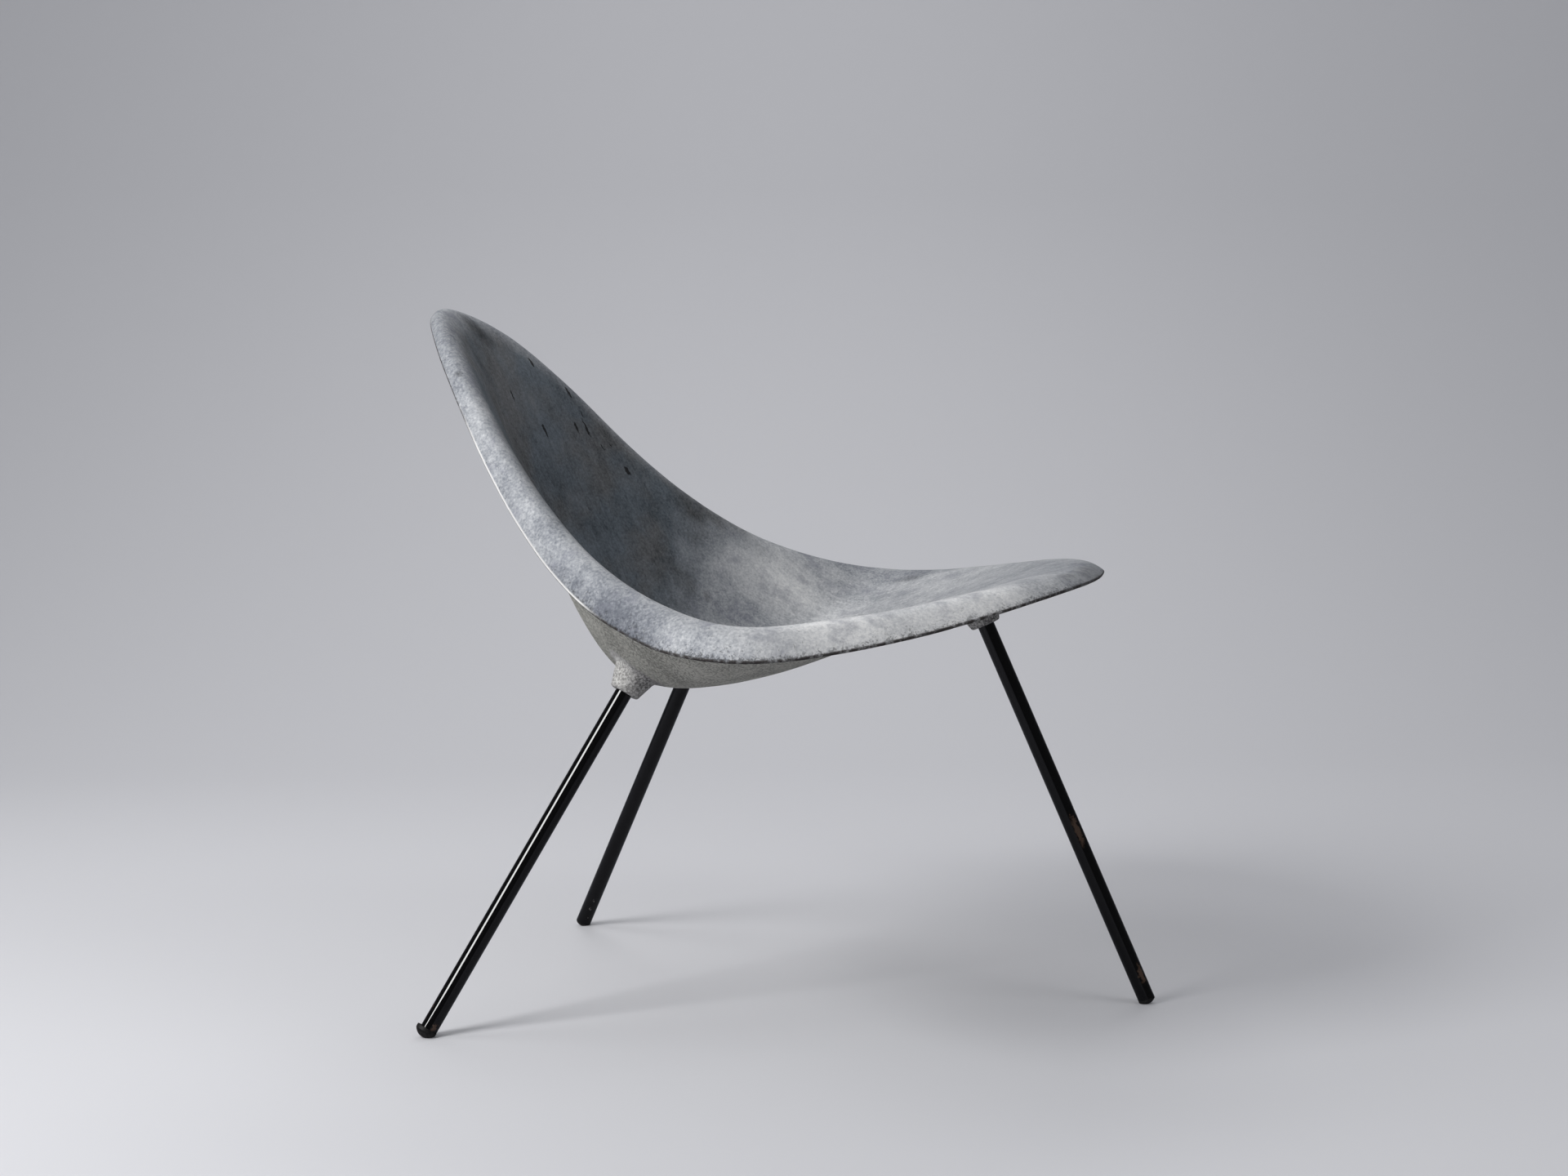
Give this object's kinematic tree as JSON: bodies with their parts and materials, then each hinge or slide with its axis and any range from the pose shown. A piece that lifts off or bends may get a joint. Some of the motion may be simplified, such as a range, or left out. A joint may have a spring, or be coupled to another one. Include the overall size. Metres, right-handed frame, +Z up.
{
  "type": "lounge chair",
  "caption": "Low lounge chair: a cast aluminium bucket seat with a rolled rim, carried on splayed black steel tube legs screwed into cast bosses.",
  "frame": {"origin": "on the floor, under the middle of the chair's overall box", "axes": "+Z up, the sitter faces -Y, +X to the sitter's left"},
  "size_m": [0.771, 0.7022, 0.669],
  "materials": {
    "cast_aluminium": "sand cast, brushed by hand on the upper side, dull grey oxide",
    "black_lacquer": "gloss black lacquer on steel tube, worn in places",
    "stud_steel": "turned steel",
    "cap_rubber": "matt black rubber",
    "tip_plastic": "black moulded plastic, worn flat underneath"
  },
  "bodies": {
    "root": {"seat_shell": "cast_aluminium", "rear_right_leg": "black_lacquer", "rear_left_leg": "black_lacquer", "front_leg": "black_lacquer", "rear_right_stud": "stud_steel", "rear_left_stud": "stud_steel", "front_stud": "stud_steel", "rear_right_foot": "cap_rubber", "rear_left_foot": "tip_plastic", "front_foot": "tip_plastic"}
  },
  "joints": []
}
